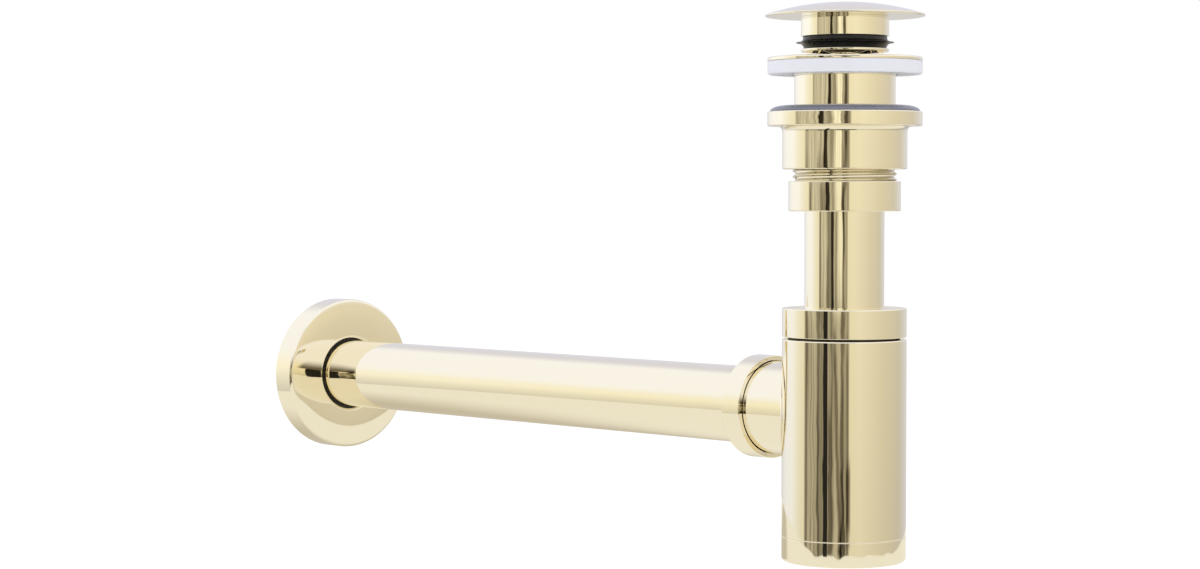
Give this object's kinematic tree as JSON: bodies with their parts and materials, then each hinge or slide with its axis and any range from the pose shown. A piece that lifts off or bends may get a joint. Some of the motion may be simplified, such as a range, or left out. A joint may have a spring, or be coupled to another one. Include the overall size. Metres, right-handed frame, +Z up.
{
  "type": "bottle trap with pop-up basin waste",
  "caption": "Bottle trap for a wash basin with pop-up waste, telescopic inlet tube, screwed bottom cup and wall tube with rosette, polished light gold.",
  "frame": {"origin": "on the waste's axis, at the basin's upper surface, where the white washer under the flange lands", "axes": "+Z up along the waste and the inlet tube; +Y along the outlet tube towards the wall; +X to the right as seen from in front of the basin, looking at the wall"},
  "size_m": [0.072, 0.3823, 0.2244],
  "materials": {
    "polished_gold": "brass, plated light gold and mirror polished",
    "nickel_plate": "brass, nickel plated, satin",
    "spring_steel": "stainless wire",
    "black_rubber": "smooth moulded rubber",
    "grey_rubber": "smooth moulded rubber, blue grey",
    "white_washer": "soft white plastic, satin",
    "slip_ring_plastic": "natural white plastic"
  },
  "bodies": {
    "waste": {"waste_body": "polished_gold", "flange_washer": "white_washer", "cartridge_sleeve": "nickel_plate", "cartridge_end": "nickel_plate", "cartridge_spring": "spring_steel"},
    "plug": {"plug_cap": "polished_gold", "plug_body": "polished_gold", "plug_seal": "black_rubber", "plunger": "nickel_plate"},
    "index": {"index_ring": "slip_ring_plastic"},
    "clamp_washer": {"basin_washer": "grey_rubber"},
    "clamp_nut": {"back_nut": "polished_gold"},
    "tail_pad": {"tail_washer": "black_rubber"},
    "coupling_nut": {"tail_nut": "polished_gold"},
    "inlet": {"inlet_tube": "polished_gold"},
    "trap": {"trap_body": "polished_gold", "collar_seal": "black_rubber", "outlet_seal": "black_rubber"},
    "collar_slip": {"collar_ring": "slip_ring_plastic"},
    "collar": {"collar_nut": "polished_gold"},
    "cup_ring": {"cup_seal": "black_rubber"},
    "cup": {"bottom_cup": "polished_gold"},
    "outlet_slip": {"outlet_ring": "slip_ring_plastic"},
    "wall_nut": {"outlet_nut": "polished_gold"},
    "outlet": {"outlet_tube": "polished_gold"},
    "rosette": {"wall_rosette": "polished_gold", "rosette_ring": "black_rubber"}
  },
  "joints": [
    {"name": "plug_press", "type": "slide", "parent": "waste", "child": "plug", "axis": [0, 0, 1], "range_m": [-0.0108, 0], "stiffness_N_per_m": 600, "springref_m": 0.01, "deforming": ["cartridge_spring"]},
    {"name": "index_turn", "type": "hinge", "parent": "plug", "child": "index", "pos_m": [0, 0, 0], "axis": [0, 0, 1], "range_deg": [0, 46]},
    {"name": "washer_travel", "type": "slide", "parent": "waste", "child": "clamp_washer", "axis": [0, 0, 1], "range_m": [-0.00465, 0.00215]},
    {"name": "back_nut_turn", "type": "hinge", "parent": "clamp_washer", "child": "clamp_nut", "pos_m": [0, 0, -0.026], "axis": [0, 0, 1], "range_deg": [-720, 330]},
    {"name": "tail_travel", "type": "slide", "parent": "waste", "child": "tail_pad", "axis": [0, 0, 1], "range_m": [-0.00465, 0]},
    {"name": "tail_nut_turn", "type": "hinge", "parent": "tail_pad", "child": "coupling_nut", "pos_m": [0, 0, -0.048], "axis": [0, 0, 1], "range_deg": [-720, 0]},
    {"name": "inlet_swivel", "type": "hinge", "parent": "tail_pad", "child": "inlet", "pos_m": [0, 0, -0.07], "axis": [0, 0, 1], "continuous": true},
    {"name": "trap_height", "type": "slide", "parent": "inlet", "child": "trap", "axis": [0, 0, 1], "range_m": [-0.02, 0.006]},
    {"name": "collar_lift", "type": "slide", "parent": "trap", "child": "collar_slip", "axis": [0, 0, 1], "range_m": [0, 0.00605]},
    {"name": "collar_turn", "type": "hinge", "parent": "collar_slip", "child": "collar", "pos_m": [0, 0, -0.1], "axis": [0, 0, 1], "range_deg": [0, 1440]},
    {"name": "cup_drop", "type": "slide", "parent": "trap", "child": "cup_ring", "axis": [0, 0, 1], "range_m": [-0.00905, 0]},
    {"name": "cup_turn", "type": "hinge", "parent": "cup_ring", "child": "cup", "pos_m": [0, 0, -0.19], "axis": [0, 0, 1], "range_deg": [-2160, 0]},
    {"name": "outlet_slip_travel", "type": "slide", "parent": "trap", "child": "outlet_slip", "axis": [0, 1, 0], "range_m": [0, 0.00305]},
    {"name": "outlet_nut_turn", "type": "hinge", "parent": "outlet_slip", "child": "wall_nut", "pos_m": [0, 0.043, -0.1355], "axis": [0, 1, 0], "range_deg": [0, 720]},
    {"name": "outlet_reach", "type": "slide", "parent": "trap", "child": "outlet", "axis": [0, 1, 0], "range_m": [-0.006, 0.01]},
    {"name": "rosette_slide", "type": "slide", "parent": "outlet", "child": "rosette", "axis": [0, 1, 0], "range_m": [-0.25, 0]}
  ],
  "couplings": [
    {"joint": "index_turn", "follows": "plug_press", "rad_per_m": -72.7},
    {"joint": "washer_travel", "follows": "back_nut_turn", "m_per_rad": 0.00036749},
    {"joint": "tail_travel", "follows": "tail_nut_turn", "m_per_rad": 0.00036749},
    {"joint": "collar_lift", "follows": "collar_turn", "m_per_rad": 0.00023873},
    {"joint": "cup_drop", "follows": "cup_turn", "m_per_rad": 0.00023873},
    {"joint": "outlet_slip_travel", "follows": "outlet_nut_turn", "m_per_rad": 0.00023873}
  ]
}
